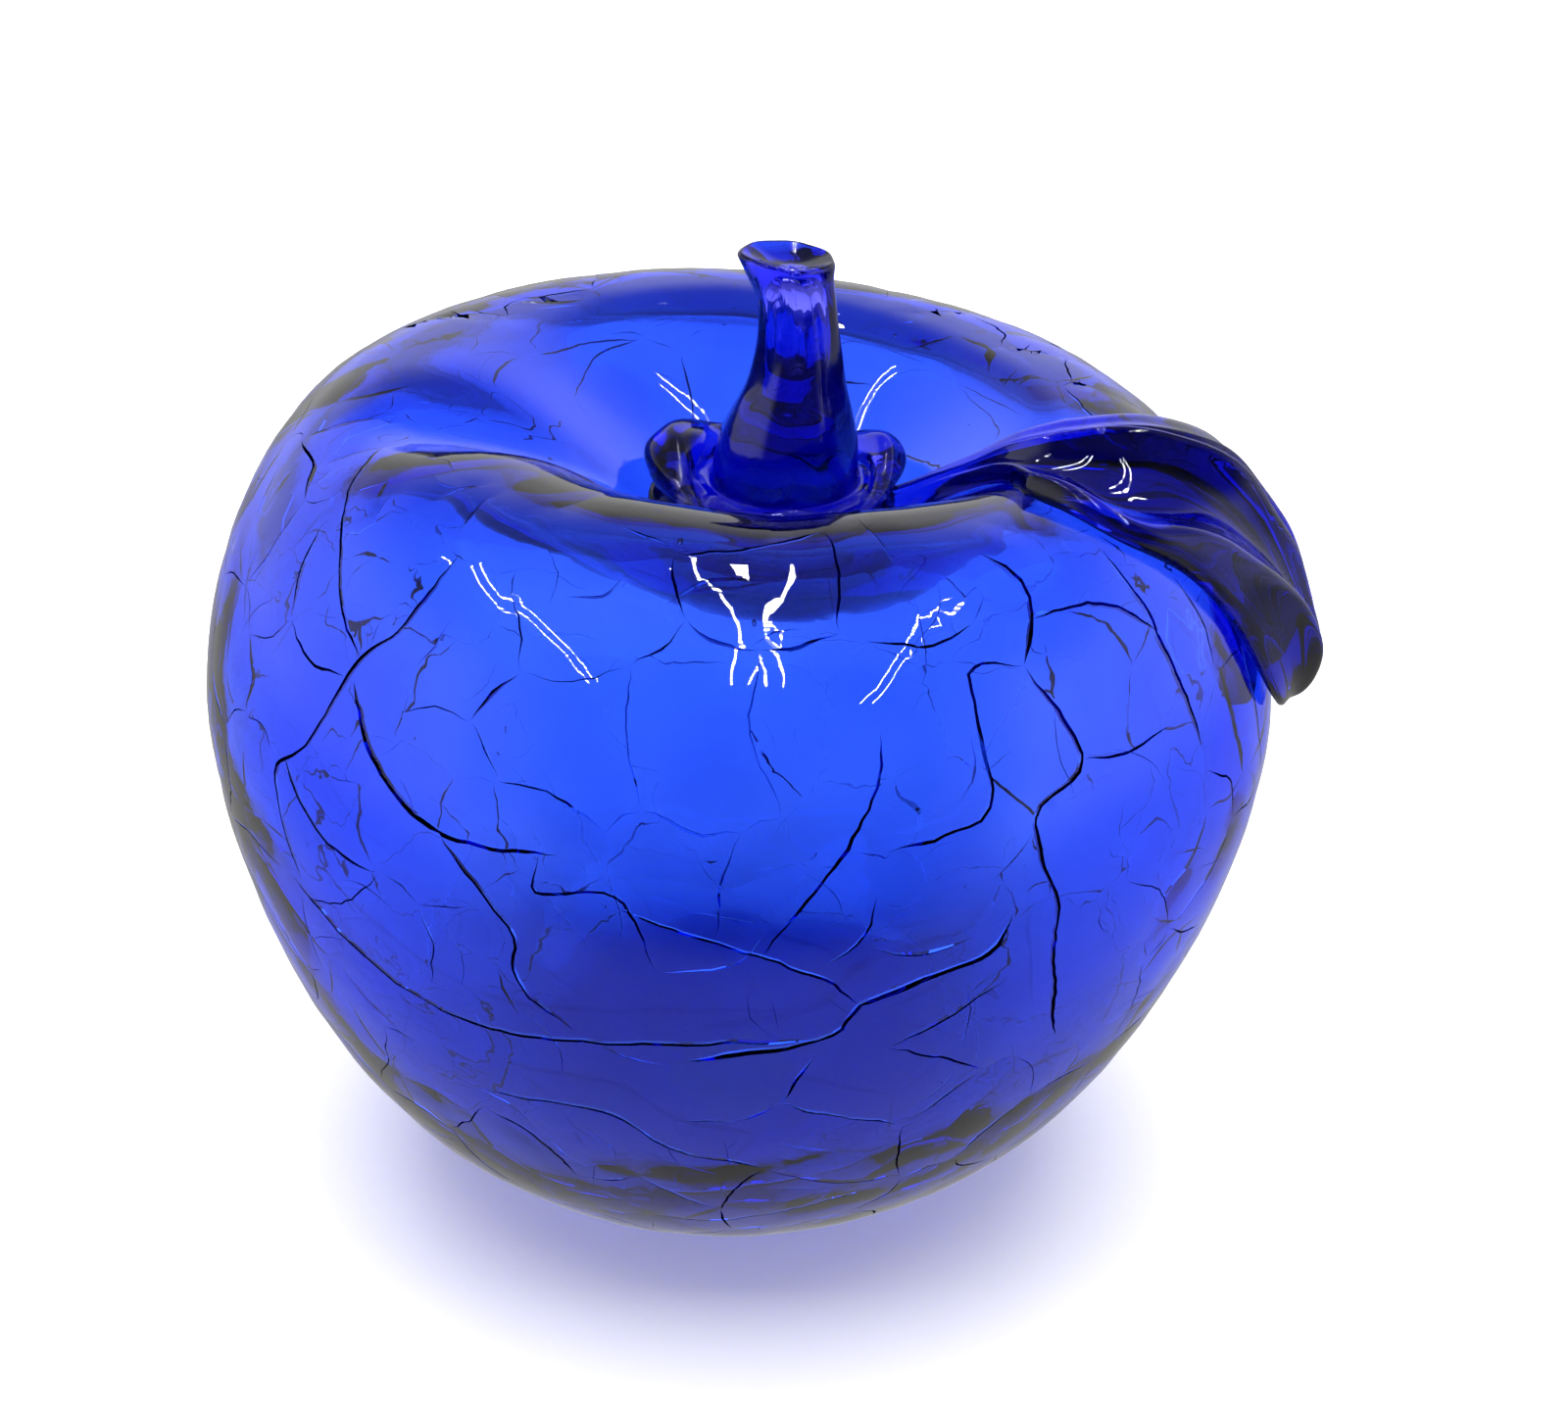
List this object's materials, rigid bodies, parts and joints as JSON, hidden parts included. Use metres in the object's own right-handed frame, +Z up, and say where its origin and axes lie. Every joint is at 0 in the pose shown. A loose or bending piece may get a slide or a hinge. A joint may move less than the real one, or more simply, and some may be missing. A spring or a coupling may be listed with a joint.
{
  "type": "glass apple ornament",
  "caption": "Hollow blown apple of cobalt-blue crackle glass on a flat foot, with an applied glass stem and a ridged leaf over its shoulder.",
  "frame": {"origin": "centre of the flat foot that the apple stands on", "axes": "+Z up through the stem, +X towards the shoulder that the leaf hangs over"},
  "size_m": [0.1142, 0.11, 0.0989],
  "materials": {
    "body_glass": "glossy clear cobalt blue with a network of crackle fissures",
    "applied_glass": "glossy fire-polished deep cobalt blue"
  },
  "bodies": {
    "root": {"apple_body": "body_glass", "stem_gather": "applied_glass", "stem": "applied_glass", "leaf_wrap": "applied_glass", "leaf": "applied_glass"}
  },
  "joints": []
}
